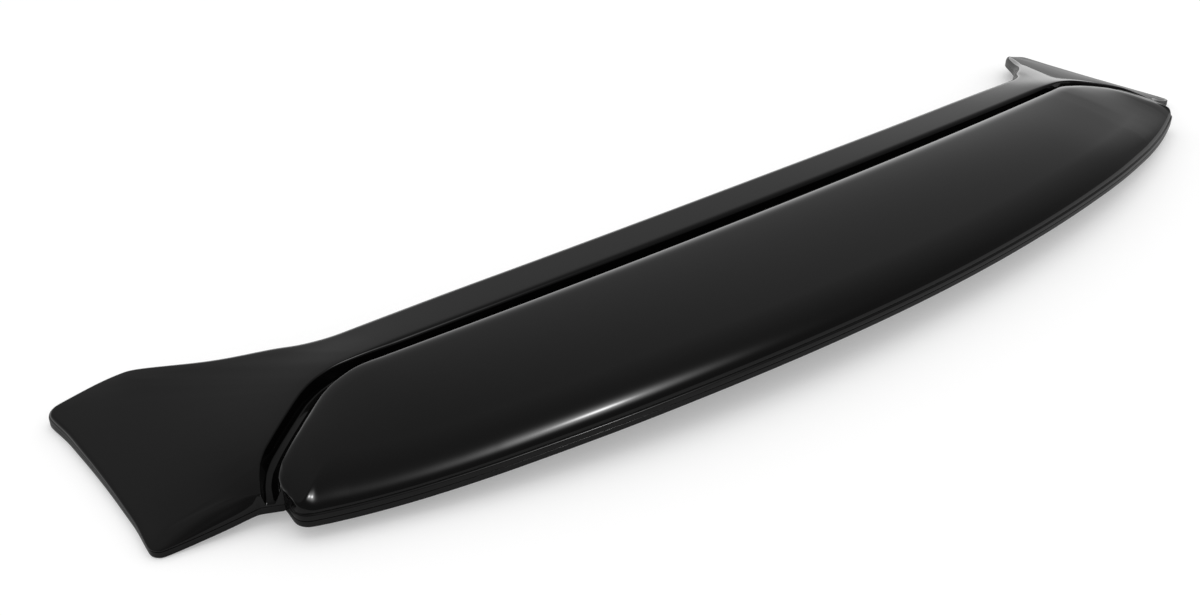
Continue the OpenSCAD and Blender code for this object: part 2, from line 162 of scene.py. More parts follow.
edgeParts, bandParts = frontOutline(0, *ear["cuts"]), frontOutline(ear["band"], *ear["bandCuts"])
edgeLine, bandLine = np.concatenate(edgeParts), np.concatenate(bandParts)
lasts = [int(k) for k in np.cumsum([len(part) for part in edgeParts]) - 1]  # last section of each part
turn, bendEnd, tipEnd, cornerEnd, sideEnd, rearEnd, count = (lasts[k] for k in (0, 1, 3, 4, 5, 6, 8))
rearStart = sideEnd + 1
bandSums = lengths(bandLine)
share = clamp((bandSums - bandSums[turn]) / (bandSums[-1] - bandSums[turn]))
index = np.arange(count + 1)

# Steps of a guide line's curve and of its corners, and the places of its first corner's middle and end
curveSteps, cornerSteps = 120, 40
cornerMiddle = curveSteps + 2 + cornerSteps // 2
cornerLast = curveSteps + 2 + cornerSteps


def guide(x0, f, corners, end):
    # A guide line of one half: the curve y = f(x) out to x0, then soft corners joined by straight lines
    x = np.linspace(0, x0, curveSteps + 1)
    parts = [np.stack([x, f(x)], -1)]
    for a, b, c, cut in corners:
        bow = softCorner(a, b, c, cut, cornerSteps)
        parts += [mix(parts[-1][-1], bow[0], np.array([[0.5]])), bow]
    path = np.concatenate(parts + [mix(parts[-1][-1], end, np.array([[0.5], [1.0]]))])
    return path, lengths(path)


def grooveGuide(middle, bend, elbow, end, lead, drop, cuts):
    # One side of the groove: a square bow from its middle, then soft corners at the bend and the elbow,
    # the first of which starts from the lead before the bend and the drop behind it
    start = [bend[0] - lead, bend[1] - drop]
    return guide(start[0], lambda x: (bend[1] - middle) * (x / bend[0]) ** 2 + middle,
                 [(start, bend, elbow, cuts[0]), (bend, elbow, end, cuts[1])], end)


def rearGuide(ahead, inset, cut):
    # Trailing edge and rear corner of the blade, or a line ahead of the edge and inset from its end
    x1 = halfBlade - inset
    end = mouthIn + mouthDir * (1.7 if ahead == 0 else 0.6)
    return guide(x1 - cut - rolled["stop"], lambda x: trailY(x) + ahead,
                 [([x1 - 20, trailY(x1 - 20) + ahead], [x1, trailY(x1) + ahead], end, cut)], end)


def followed(path, sums, start):
    # Walks a groove side with the front outline: straight to the bend, then by its share of the ear
    return along(path, sums, np.where(index <= turn, start * index / turn, mix(start, sums[-1], share)))


def rearWalk(sums, last=0.999):
    # Straight to the bend, then with marks at the start and the end of the rear corner
    start = sums[curveSteps] * runX / (halfBlade - rolled["rimCut"] - rolled["stop"])
    marks = [start, sums[curveSteps], sums[cornerLast], sums[-1] - 0.01, sums[-1]]
    shares = [0, rearMarks[0], rearMarks[1], last, 1]
    return np.where(index <= turn, start * index / turn, np.interp(share, shares, marks))


# The roll: how far it reaches ahead of the trailing edge, how far its line stays inside the blade's end,
# the length in which it grows from the corner, its least share there, how far before the corner the rim's
# and its own parabola start, and how far before that their curves stop
rolled = {"depth": 34, "inset": 24, "run": 20, "least": 0.12, "rimCut": 10, "cut": 4, "stop": 4}
rearMarks = 0.58, 0.8  # shares of the ear at which the blade's rear corner starts and ends

bend = np.array([bendX, groove["bendY"]], float)
bladeBend = bend - groove["bendWidth"] * np.array([0.8, 0.68])
elbow, bladeElbow = (np.array([halfBlade - x, -y]) for x, y in (groove["elbow"], groove["bladeElbow"]))
mouthIn = mouth + mouthDir * groove["mouthWidth"]
stripLine, stripSums = grooveGuide(0, bend, elbow, mouth, groove["lead"], groove["drop"], groove["cuts"])
bladeLine, bladeSums = grooveGuide(-groove["width"], bladeBend, bladeElbow, mouthIn,
                                   groove["bladeLead"], groove["bladeDrop"], groove["bladeCuts"])
stripStart = stripSums[curveSteps] * runX / (bend[0] - groove["lead"])
bladeStart = bladeSums[curveSteps] * (runX - groove["bladeShort"]) / (bladeBend[0] - groove["bladeLead"])
rimLine, rimSums = rearGuide(0, 0, rolled["rimCut"])
rollLine, rollSums = rearGuide(rolled["depth"], rolled["inset"], rolled["cut"])
full = np.sin(math.pi / 2 * clamp((rimSums[cornerMiddle] - rearWalk(rimSums)) / rolled["run"]))
rim = along(rimLine, rimSums, rearWalk(rimSums, 0.98))
roll = mix(rim, along(rollLine, rollSums, rearWalk(rollSums)), np.maximum(rolled["least"], full)[:, None])
plan = np.stack([edgeLine, bandLine, followed(stripLine, stripSums, stripStart),
                 followed(bladeLine, bladeSums, bladeStart), roll, rim], 1)
reach = np.stack([lengths(p) for p in plan])
print("plan laid out in", 2 * count + 1, "sections")

# From here on, each value of a section is a row of its own, so that it meets the columns across it. The
# distances c1 to c5 are those of the band, both sides of the groove, the roll and the rim
share, full, index = share[:, None], full[:, None], index[:, None]
c1, c2, c3, c4, c5 = (reach[:, k:k + 1] for k in range(1, 6))
zero = 0 * c1


def at(s):
    # Plan points at the distances s along each section
    return np.stack([along(p, r, v) for p, r, v in zip(plan, reach, s)])


# Heights in millimetres: of the underside in the middle, at the corners and at the groove's open ends, of
# the edge, its crest and its fall along the ears, and of the seam, lip, roll, groove and soft forms. The
# crown and the soft rise are full where the blade is as deep as it says
heights = {"frontArch": 39, "rearArch": 27, "corner": 10, "mouth": 9.5, "edge": 14.5, "edgeCrest": 2,
           "edgeFall": 6, "tipFall": 0.6, "seam": 5, "lip": 10, "roll": 20, "rollLeast": 7, "strip": 1.5,
           "stripBow": 3.7, "rise": 3, "bladeBow": 9.4, "crown": 3, "crownDepth": 90, "soft": 1.5,
           "softDepth": 60, "softWidth": 14, "fallStart": 20, "groove": 10.5}
# Radii and widths in millimetres: of the rim's edges, of the groove's sides and floor, and of the lip, and
# how far the groove's two sides lean beside the ears
edges = {"edge": 8, "sideEdge": 4, "end": 2.2, "seam": 0.35, "under": 1.3, "lip": 1.6, "lipEdge": 1.2,
         "groove": 4.5, "earGroove": 1.7, "blade": 2.4, "fillet": 1.3, "earSlope": 2.2, "bladeSlope": 4.6,
         "slopeWidth": 14}


def under(x):
    # Front of the underside: it falls as a square over the whole span, and again beyond its level middle
    level = outline["level"] / 2
    u, d = x / halfSpan, np.maximum(0, x - level) / (halfSpan - level)
    return np.maximum(0, heights["frontArch"] * (1 - u * u / 3 - d * d * 2 / 3))


def rimZ(x):
    # Lower edge at the rear: it falls as two powers, and is level again at the corner
    t = np.minimum(x / halfBlade, 1)
    return heights["rearArch"] - (heights["rearArch"] - heights["corner"]) * (2 * t ** 3.5 - t ** 8)


def fall(x, top, x1, bow):
    # Height of a groove side: a shallow bow, then down to the open end as a square and a steep power
    start = runX + heights["fallStart"]
    t = clamp((x - start) / (x1 - start))
    end = heights["mouth"] + heights["edge"] + 1
    return top - bow * (x / x1) ** 2 - (top - bow - end) * (0.75 * t * t + 0.25 * t ** 14)


def edgeAt(x):
    # Height of the edge: a low crest before the ears, then lower along the outer side of an ear
    u = np.minimum(1, x / (halfBlade - 1)) ** 3
    t = clamp((index - cornerEnd) / (rearStart - cornerEnd))
    tip = heights["tipFall"] * ease((index - bendEnd) / (tipEnd - bendEnd))
    start, run = ear["rearFall"]
    low = np.where(index > rearStart, ease((x - halfBlade - start) / run), mix(tip, 1, t * (1.5 - 0.5 * t)))
    return heights["edge"] + heights["edgeCrest"] * 4 * u * (1 - u) - heights["edgeFall"] * low


# Heights of the lower edge at the front and the rear, of the groove's two sides, the roll, the groove's
# floor and the top of the edge
sideX, edgeLineX = halfSpan - 3, plan[:, 0, :1]
inward = clamp((sideX - edgeLineX) / (sideX - mouth[0]))
frontZ = np.where(index < rearStart, under(edgeLineX), heights["mouth"] * inward ** 1.3)
ending = (share - rearMarks[1]) / (1 - rearMarks[1])  # how far past the blade's rear corner
rearZ = mix(rimZ(plan[:, 5, :1]), heights["mouth"], ease(ending))
stripTop = heights["frontArch"] + heights["edge"] + heights["strip"]
stripZ = fall(plan[:, 2, :1], stripTop, mouth[0], heights["stripBow"])
bladeZ = fall(plan[:, 3, :1], stripTop + heights["rise"], mouthIn[0], heights["bladeBow"])
rollZ = rearZ + heights["lip"] + mix(heights["rollLeast"], heights["roll"], full)
floorZ = stripZ - heights["groove"] * (1 - 0.2 * share ** 2)
edgeZ = frontZ + edgeAt(edgeLineX)
solid = clamp((index - rearEnd) / 2)  # where a shell is solid, beside the open ends of the groove
crown = heights["crown"] * clamp((c4 - c3) / heights["crownDepth"])
soft = heights["soft"] * clamp((c4 - c3) / heights["softDepth"])
alongEar = ease((index - bendEnd) / 4) * (1 - ease((index - sideEnd + 1) / 4))
edgeR = np.minimum(mix(edges["edge"], edges["sideEdge"], alongEar), c1 * 0.8)

# The top of the strip and the ears is a thin sheet, bent through the heights of its edge and of the groove.
# Lengths are taken in units of so many millimetres, and the slack lets it pass a little beside its knots
bending = {"unit": 100, "slack": 0.02}
knots = np.concatenate([at(edgeR)[:, 0], plan[:, 2]])
held = np.concatenate([edgeZ, stripZ])[:, 0]
knots, held = np.concatenate([knots, knots * [-1, 1]]), np.concatenate([held, held])


def sheet(p):
    # At the points p: each knot's squared distance times its logarithm, then a level and two slopes
    square = ((p[..., None, :] - knots) ** 2).sum(-1) / bending["unit"] ** 2 + 1e-9
    return np.concatenate([square * np.log(square), np.ones((*p.shape[:-1], 1)), p / bending["unit"]], -1)


pulls = sheet(knots)
slack = bending["slack"] * np.eye(len(knots))
system = np.block([[pulls[:, :-3] + slack, pulls[:, -3:]], [pulls[:, -3:].T, np.zeros((3, 3))]])
pull = np.linalg.lstsq(system, np.append(held, [0, 0, 0]), rcond=None)[0]


def topAt(s):
    # Top of the strip and the ears: the sheet, with each part of it as strong as its pull
    return sheet(at(s)) @ pull


def bladeAt(s):
    # Top of the blade: straight from its front edge to the roll, with a crown and a soft rise in front
    t = (s - c3) / (c4 - c3)
    front = 1 - clamp(1 - (s - c3) / heights["softWidth"]) ** 2
    return mix(bladeZ, rollZ, t) + crown * 4 * t * (1 - t) + soft * front * (1 - t)


def lowForm(q):
    # Soft form of the underside: the height of its front, and lower behind by a slope that grows as a
    # square and runs out as a sixth power towards the ends of the span
    u, depth = q[..., 0] / halfSpan, outline["strip"] + groove["width"] + outline["bladeDepth"]
    drop = (heights["frontArch"] - heights["rearArch"]) * (1 + 2.2 * u * u - 3.2 * u ** 6)
    return under(q[..., 0]) + drop * (q[..., 1] - outline["strip"]) / depth


def lowAt(s):
    # Underside: the soft form, shifted to meet both edges
    return lowForm(at(s)) + mix(frontZ - lowForm(plan[:, :1]), rearZ - lowForm(plan[:, 5:]), s / c5)


def seamAt(s):
    # The seam: straight across from the front edge to the rear, above the lower edge
    return mix(frontZ, rearZ, s / c5) + heights["seam"]


# Wall, bond gap, and the ribs: how far they stand above the seam, where they slope and end, and how much
# less the rear one stands
shells = {"wall": 3, "gap": 0.3, "rib": 3, "ribEdge": 0.3, "ribWidth": 1.5, "rearRibLow": 1.6}
# How many steps each part has across a section
fineness = {"seam": 3, "edge": 12, "strip": 16, "groove": 8, "blade": 26, "roll": 28, "under": 30,
            "lowEdge": 5}


def arc(part, first=0):
    # Sines and cosines of a quarter turn
    a = np.radians(np.linspace(0, 90, fineness[part] + 1))[first:]
    return np.sin(a), np.cos(a)


def between(a, b, part, power=1):
    # Points inside a stretch, closer together near a where the power is over 1
    return mix(a, b, np.linspace(0, 1, fineness[part] + 1)[1:-1] ** power)


def ringPoints(parts):
    # Points in the frame from pairs of distance and height, mirrored to the other half
    s, z = (np.concatenate([np.broadcast_to(p[k], (count + 1, np.broadcast(*p).shape[1])) for p in parts], 1)
            for k in (0, 1))
    half = np.concatenate([at(s) - [0, midY], z[..., None]], -1)
    return np.concatenate([half[:0:-1] * [-1, 1, 1], half])


def bonded(points, gap):
    # Inner points as distance, height and the distance that it has where a shell is solid. There they are
    # drawn down to the seam
    drawn = [(mix(s, c, solid), z) for s, z, c in points]
    return ringPoints([(s, mix(z, seamAt(s) + gap, solid)) for s, z in drawn])


def upperRings():
    # Outer face from the front seam over strip, groove, blade and roll to the rear seam; then the inner face
    wall, seamR, lift = shells["wall"], edges["seam"], heights["seam"] + shells["gap"]
    frontSeam, rearSeam = frontZ + lift, rearZ + lift
    edgeH = np.minimum(edges["edge"], topAt(zero) - frontSeam - 1)
    # Each radius is held to a share of the room that it has
    sideH, grooveW, bladeW = stripZ - floorZ, c3 - c2, c4 - c3
    stripR = mix(edges["groove"], edges["earGroove"], clamp(3 * share))
    stripR = np.minimum.reduce([stripR, sideH * 0.45, (c2 - c1) * 0.45])
    bladeR = np.minimum.reduce([edges["blade"] + zero, (bladeZ - floorZ) * 0.45, bladeW * 0.9])
    footR = np.minimum.reduce([edges["fillet"] + zero, grooveW * 0.24, sideH * 0.4])
    lean = clamp(4 * share) * np.minimum(1, grooveW / edges["slopeWidth"]) * (1 - 0.4 * clamp(ending))
    stripFoot = c2 + stripR * 0.2 + 0.5 + lean * edges["earSlope"]
    bladeFoot = c3 - bladeR * 0.5 - 0.4 - lean * edges["bladeSlope"]
    lipZ, lipW = rearZ + heights["lip"], np.minimum(edges["lip"], (c5 - c4) * 0.3)
    rollD, lipR = c5 - lipW - c4, np.minimum(edges["lipEdge"], lipW * 0.75)
    tilt = np.clip((rollZ - bladeZ - 4 * crown - soft) / bladeW, -0.5, 0)
    rise = rollZ + tilt * rollD - lipZ
    (seamSin, seamCos), (edgeSin, edgeCos) = arc("seam"), arc("edge", 1)
    (sin, cos), (rollSin, rollCos) = arc("groove"), arc("roll")
    edgeS, stripEnd, bladeFront = edgeR * (1 - edgeCos), c2 - stripR * 0.8, c3 + bladeR * 0.5
    topS, backS = between(edgeR, stripEnd, "strip"), between(bladeFront, c4, "blade", 1.3)
    stripS, bladeS = stripEnd + stripR * sin, c3 - bladeR * 0.5 + bladeR * (1 - cos)
    outer = ringPoints([
        (seamR * (1 - seamSin), frontSeam + seamR * (1 - seamCos)),  # front seam
        (zero, topAt(zero) - edgeH),
        (edgeS, topAt(edgeS) - edgeH * (1 - edgeSin)),  # edge
        (topS, topAt(topS)),  # strip or ear
        (stripS, topAt(np.minimum(stripS, c2)) - stripR * (1 - cos)),  # front side of the groove
        (stripFoot + footR * (1 - cos), floorZ + footR * (1 - sin)),
        (bladeFoot - footR * (1 - sin), floorZ + footR * (1 - cos)),
        (bladeS, bladeAt(np.maximum(bladeS, c3)) - bladeR * (1 - sin)),  # blade side of the groove
        (backS, bladeAt(backS)),  # blade
        (c4 + rollD * rollSin, rollZ + tilt * rollD * rollSin - rise * (1 - rollCos)),  # roll
        (c5 - lipR * (1 - seamSin), lipZ - 0.1 - 1.1 * (1 - seamCos)),  # lip
        (c5 - seamR * (1 - seamCos), rearSeam + seamR * (1 - seamSin))])  # rear seam
    behind, before = bladeFront + wall, c2 - stripR * 0.6 - wall
    halfWay = mix(c1, c2 - stripR - wall, 0.5)
    inner = bonded([
        (c5 - wall, rearSeam, c5 - np.minimum(wall, (c5 - c4) * 0.25)),
        (c5 - wall - 0.3, lipZ - wall, mix(c4, c5, 0.6)),
        (np.minimum(c4 + rollD * 0.75, c5 - wall - 2),
         lipZ + rise * 0.66 - wall * np.minimum(1.3, 0.6 + rise * 0.07), mix(c4, c5, 0.3)),
        (np.minimum(c4 + rollD * 0.35, c5 - wall - 4), lipZ + rise * 0.93 - wall * 1.1, c4),
        (mix(c3 + wall, np.minimum(c4, c5 - wall - 6), 0.6),
         bladeAt(mix(c3 + wall, c4, 0.6)) - wall, mix(c3, c4, 0.5)),
        (behind, bladeAt(behind) - wall * 1.1, c3),
        (c3 + wall * 0.8, floorZ - wall * 0.6, mix(c2, c3, 0.85)),
        (c3 - 1.5, floorZ - wall, mix(c2, c3, 0.6)),
        (c2 + 1.5, floorZ - wall, mix(c2, c3, 0.4)),
        (c2 - wall * 0.8, floorZ - wall * 0.6, mix(c2, c3, 0.15)),
        (before, topAt(before) - wall * 1.1, c2),
        (halfWay, topAt(halfWay) - wall, mix(c1, c2, 0.5)),
        (edgeR + 1, np.maximum(topAt(edgeR + 1) - wall, frontSeam + 1), c1),
        (wall + 0.3 + zero, np.maximum(edgeZ - wall - 3, frontSeam + 0.6), c1 * 0.6),
        (wall + zero, frontSeam, np.minimum(wall, c1 * 0.3))], shells["gap"])
    return outer, inner


def lowerRings():
    # Outer face from the front seam under the part to the rear seam; then back over the ribs and the inner
    # face. A rib ends below the upper shell's inner ledge
    r, seamR, wall, rib = edges["under"], edges["seam"], shells["wall"], shells["rib"]
    frontSeam, rearSeam = frontZ + heights["seam"], rearZ + heights["seam"]
    (sin, cos), (seamSin, seamCos) = arc("lowEdge"), arc("seam")
    mid = 2 * r + np.linspace(0, 1, fineness["under"] + 1) * (c5 - 4 * r)
    outer = ringPoints([
        (seamR * (1 - seamSin), frontSeam - seamR * (1 - seamCos)),
        (r * (1 - cos), frontZ + r * (1 - sin)),
        (mid, lowAt(mid)),  # underside
        (c5 - r * (1 - sin), rearZ + r * (1 - cos)),
        (c5 - seamR * (1 - seamCos), rearSeam - seamR * (1 - seamSin))])
    ledge = np.maximum(edgeZ - wall - 3, frontSeam + shells["gap"] + 0.6)
    front, rear = np.minimum(rib, ledge - frontSeam - 0.4), rib - shells["rearRibLow"]
    inset = wall + shells["gap"] + zero
    slope, width = shells["ribEdge"], shells["ribWidth"]
    # Each point: its distance, how far it stands above the seam if it is on a rib, and its closed distance
    marks = [
        (c5 - inset, 0, c5 - np.minimum(wall, (c5 - c4) * 0.25)),
        (c5 - inset - slope, rear, mix(c4, c5, 0.6)),
        (c5 - inset - width, rear, mix(c4, c5, 0.45)),
        (c5 - inset - width - 0.4, None, mix(c4, c5, 0.3)),
        (np.minimum(c4, c5 - inset - 4), None, c4),
        (c3, None, c3), (c2, None, c2), (c1, None, c1),
        (inset + width + 0.4, None, c1 * 0.7),
        (inset + width, front, c1 * 0.6),
        (inset + slope, front, c1 * 0.45),
        (inset, 0, np.minimum(wall, c1 * 0.3))]
    inner = bonded([(s, lowAt(s) + wall if up is None else seamAt(s) + up, c) for s, up, c in marks], 0)
    return outer, inner


# Rows between two sections: one for so many millimetres, the least and the most, and those of the last
rows = {"every": 5, "least": 3, "most": 12, "last": 14}
leastChord = 0.05  # share of the mean chord that a short one counts as
sharpAngle = math.radians(40)


def splined(points, steps):
    # Through the sections, a cubic spline for each column, with knots at the roots of its chords and no
    # bend at its two ends
    chord = np.linalg.norm(np.diff(points, axis=0), axis=-1)
    h = np.sqrt(np.maximum(chord, leastChord * chord.mean()))
    m, n = points.shape[:2]
    i, system, right = np.arange(1, m - 1), np.zeros((n, m, m)), np.zeros((n, m, 3))
    system[:, 0, 0] = system[:, -1, -1] = 1
    system[:, i, i - 1], system[:, i, i], system[:, i, i + 1] = h[:-1].T, 2 * (h[:-1] + h[1:]).T, h[1:].T
    right[:, 1:-1] = 6 * np.diff(np.diff(points, axis=0) / h[..., None], axis=0).swapaxes(0, 1)
    curve = np.linalg.solve(system, right).swapaxes(0, 1)
    made = []
    for j, k in enumerate(steps):
        t = (np.arange(k) / k)[:, None, None]
        bow = ((1 - t) ** 3 - (1 - t)) * curve[j] + (t ** 3 - t) * curve[j + 1]
        made.append(mix(points[j], points[j + 1], t) + h[j][:, None] ** 2 / 6 * bow)
    return np.concatenate(made + [points[-1:]])


def straight(points, steps):
    # Straight lines through the sections
    made = [mix(points[j], points[j + 1], (np.arange(k) / k)[:, None, None]) for j, k in enumerate(steps)]
    return np.concatenate(made + [points[-1:]])


def softEnds(skin):
    # Rounds the upper edge of both flat ends as a quarter circle, down to the seam at the most, and less
    # where the last two sections lie close together
    seam, r = heights["mouth"] + heights["seam"] + shells["gap"], edges["end"]
    near = np.minimum(*(np.linalg.norm((skin - skin[k])[..., :2], axis=-1) for k in (0, -1)))
    drop = r - np.sqrt(r * r - (r - np.minimum(near, r)) ** 2)
    last = np.linalg.norm((skin[-1] - skin[-1 - rows["last"]])[:, :2], axis=-1)
    skin[..., 2] -= clamp(last / 3 - 0.5) * np.minimum(drop, 0.8 * np.maximum(0, skin[..., 2] - seam))
    return skin


def newPiece(name, points, faces):
    # A smooth mesh of its own in the scene
    mesh = bpy.data.meshes.new(name)
    mesh.from_pydata(points, [], faces)
    mesh.polygons.foreach_set("use_smooth", np.ones(len(mesh.polygons), bool))
    piece = bpy.data.objects.new(name, mesh)
    scene.collection.objects.link(piece)
    return piece


def closedShell(name, node, outer, inner, rounded):
    # The rings of both halves joined into one closed tube with flat ends, in metres and inside the CAD box
    stretch = np.hypot(*np.diff(edgeLine, axis=0).T)
    steps = np.clip(np.ceil(stretch / rows["every"]), rows["least"], rows["most"]).astype(int)
    steps[-1] = rows["last"]
    steps = np.concatenate([steps[::-1], steps])
    skin = splined(outer, steps)
    rings = np.concatenate([softEnds(skin) if rounded else skin, straight(inner, steps)], 1) * millimetre
    rings = np.clip(rings, list(cadLow), list(cadHigh))
    k, n = rings.shape[:2]
    i, j = np.meshgrid(np.arange(k - 1), np.arange(n), indexing="ij")
    b = (j + 1) % n
    quads = np.stack([i * n + j, i * n + b, (i + 1) * n + b, (i + 1) * n + j], -1).reshape(-1, 4)
    ends = [list(range(n - 1, -1, -1)), list(range((k - 1) * n, k * n))]
    piece = newPiece(name, rings.reshape(-1, 3), quads.tolist() + ends)
    piece.data.set_sharp_from_angle(angle=sharpAngle)
    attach(piece, "root")
    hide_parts(node)
    print(name, "made with", len(piece.data.polygons), "faces")
    return piece


upper = closedShell("upper_skin", "upper_shell", *upperRings(), True)
lower = closedShell("lower_skin", "lower_shell", *lowerRings(), False)

# Bosses under the strip: how far apart the inner and the outer pair are, how far they lie behind the front
# edge and below the underside, and the rim that stands around each insert
bosses = {"inner": 300, "outer": 800, "back": 24, "width": 14, "seat": 1.3, "bore": 8.5, "rim": 3,
          "soft": 0.4, "steps": 48}


def boltPlaces():
    # The middle of each seat, a little below the underside
    y, places = outline["strip"] - bosses["back"], []
    for x in (-bosses["outer"] / 2, -bosses["inner"] / 2, bosses["inner"] / 2, bosses["outer"] / 2):
        front, size = stripY(abs(x)), abs(x)
        level = mix(under(size), rimZ(size), (front - y) / (front - trailY(size)))
        places.append((x, y - midY, float(level) - bosses["seat"]))
    return places


def turned(name, profile, places):
    # Closed rings around vertical axes: the profile's distances and heights, turned round at each place
    steps = bosses["steps"]
    a = np.arange(steps) * math.tau / steps
    r, z = np.array(profile, float).T
    ring = np.stack([r * np.cos(a)[:, None], r * np.sin(a)[:, None], z + 0 * a[:, None]], -1)
    points = (np.array(places)[:, None, None] + ring) * millimetre
    k, i, j = np.meshgrid(np.arange(len(places)), np.arange(steps), np.arange(len(r)), indexing="ij")
    ahead, b = (i + 1) % steps, (j + 1) % len(r)
    cell = [(k * steps + p) * len(r) + q for p, q in ((i, j), (ahead, j), (ahead, b), (i, b))]
    return newPiece(name, points.reshape(-1, 3), np.stack(cell, -1).reshape(-1, 4).tolist())


outerR, boreR, cut, rimH = bosses["width"] / 2, bosses["bore"] / 2, bosses["soft"], bosses["rim"]
seats = turned("boss_seats", [(boreR, 0), (outerR - cut, 0), (outerR - cut / 4, cut / 4), (outerR, cut),
                              (outerR, rimH), (boreR, rimH)], boltPlaces())
seats.data.set_sharp_from_angle(angle=sharpAngle)
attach(seats, "root")
print(seats.name, "made with", len(seats.data.polygons), "faces")

# Paint: deep black under a smooth gloss whose roughness drifts a little, with faint orange peel
paint = {"black": (0.0016, 0.0015, 0.0015, 1), "ior": 1.5, "roughness": 0.05, "drift": 0.2,
         "driftFrom": 0.3, "driftTo": 0.7, "driftSize": 9.0, "driftDetail": 4.0,
         "peel": 0.012, "peelSize": 230.0, "peelDetail": 1.5, "peelDepth": 0.0004}


def feed(tree, socket, value):
    # A plain number is set on the socket itself, and anything else is linked to it
    if isinstance(value, (int, float)):
        socket.default_value = value
    else:
        tree.links.new(value, socket)


def mathNode(tree, kind, *values):
    # The result of one Math node
    node = tree.nodes.new("ShaderNodeMath")
    node.operation = kind
    for socket, value in zip(node.inputs, values):
        feed(tree, socket, value)
    return node.outputs[0]


def noise(tree, size, detail):
    # Noise on Object coordinates
    node, place = tree.nodes.new("ShaderNodeTexNoise"), tree.nodes.new("ShaderNodeTexCoord")
    node.inputs["Scale"].default_value = size
    node.inputs["Detail"].default_value = detail
    tree.links.new(place.outputs["Object"], node.inputs["Vector"])
    return node.outputs["Fac"]


def bumped(tree, height, strength, depth):
    # The normal of a surface with that relief
    node = tree.nodes.new("ShaderNodeBump")
    node.inputs["Distance"].default_value = depth
    feed(tree, node.inputs["Strength"], strength)
    tree.links.new(height, node.inputs["Height"])
    return node.outputs["Normal"]


def paintGroup():
    # Roughness: the given one, less or more by the drift's share with a slow noise. Normal: the relief of
    # a fine noise, as strong as the given peel
    tree = bpy.data.node_groups.new("paint_surface", "ShaderNodeTree")
    for name, way, kind in (("Roughness", "INPUT", "Float"), ("Peel", "INPUT", "Float"),
                            ("Roughness", "OUTPUT", "Float"), ("Normal", "OUTPUT", "Vector")):
        tree.interface.new_socket(name=name, in_out=way, socket_type="NodeSocket" + kind)
    given, out = tree.nodes.new("NodeGroupInput").outputs, tree.nodes.new("NodeGroupOutput").inputs
    drift = tree.nodes.new("ShaderNodeMapRange")
    drift.inputs["From Min"].default_value = paint["driftFrom"]
    drift.inputs["From Max"].default_value = paint["driftTo"]
    tree.links.new(noise(tree, paint["driftSize"], paint["driftDetail"]), drift.inputs["Value"])
    for end, most in (("To Min", 1 - paint["drift"]), ("To Max", 1 + paint["drift"])):
        tree.links.new(mathNode(tree, "MULTIPLY", given["Roughness"], most), drift.inputs[end])
    peel = noise(tree, paint["peelSize"], paint["peelDetail"])
    tree.links.new(drift.outputs["Result"], out["Roughness"])
    tree.links.new(bumped(tree, peel, given["Peel"], paint["peelDepth"]), out["Normal"])
    return tree


def newMaterial(name):
    # A new material and its Principled BSDF
    material = bpy.data.materials.new(name)
    material.use_nodes = True
    return material, material.node_tree.nodes["Principled BSDF"]


paintSurface = paintGroup()
for piece, name in ((upper, "upper_paint"), (lower, "lower_paint"), (seats, "seat_paint")):
    material, shader = newMaterial(name)
    links, surface = material.node_tree.links, material.node_tree.nodes.new("ShaderNodeGroup")
    surface.node_tree = paintSurface
    surface.inputs["Roughness"].default_value = paint["roughness"]
    surface.inputs["Peel"].default_value = paint["peel"]
    shader.inputs["Base Color"].default_value = paint["black"]
    shader.inputs["IOR"].default_value = paint["ior"]
    links.new(surface.outputs["Roughness"], shader.inputs["Roughness"])
    links.new(surface.outputs["Normal"], shader.inputs["Normal"])
    piece.data.materials.clear()
    piece.data.materials.append(material)
print("paint on", upper.name, lower.name, seats.name)

# Inserts: plain brass with fine turning marks
brass = {"colour": (0.52, 0.38, 0.16, 1), "roughness": 0.32, "grain": 0.15, "grainSize": 900.0,
         "grainDetail": 2.0, "grainDepth": 0.0002}
metal, shader = newMaterial("insert_metal")
shader.inputs["Base Color"].default_value = brass["colour"]
shader.inputs["Metallic"].default_value = 1.0
shader.inputs["Roughness"].default_value = brass["roughness"]
grain = noise(metal.node_tree, brass["grainSize"], brass["grainDetail"])
metal.node_tree.links.new(bumped(metal.node_tree, grain, brass["grain"], brass["grainDepth"]),
                          shader.inputs["Normal"])
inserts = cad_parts["threaded_inserts"]
inserts.data.materials.clear()
inserts.data.materials.append(metal)
print("brass on", inserts.name)


def direction(azimuth, elevation):
    # The way to look, with the azimuth in degrees from +Y towards +X
    a, e = math.radians(azimuth), math.radians(elevation)
    return Vector((math.sin(a) * math.cos(e), math.cos(a) * math.cos(e), math.sin(e)))


def aimed(item, place, way):
    # Puts a camera or a lamp at its place, and turns it that way with its top up
    scene.collection.objects.link(item)
    item.location = place
    item.rotation_mode = "QUATERNION"
    item.rotation_quaternion = way.to_track_quat("-Z", "Y")
    return item


# Camera: the one that the outline of the part was solved with. It looks down along the elevation
view = {"place": (-0.8028, -0.6656, 0.5187), "azimuth": 40.489, "elevation": -29.427, "lens": 37.55,
        "sensor": 36, "near": 0.01, "far": 50}
camera = aimed(bpy.data.objects.new("camera", bpy.data.cameras.new("camera")), view["place"],
               direction(view["azimuth"], view["elevation"]))
camera.data.sensor_width, camera.data.lens = view["sensor"], view["lens"]
camera.data.clip_start, camera.data.clip_end = view["near"], view["far"]
scene.camera = camera
print("camera at", view["place"])

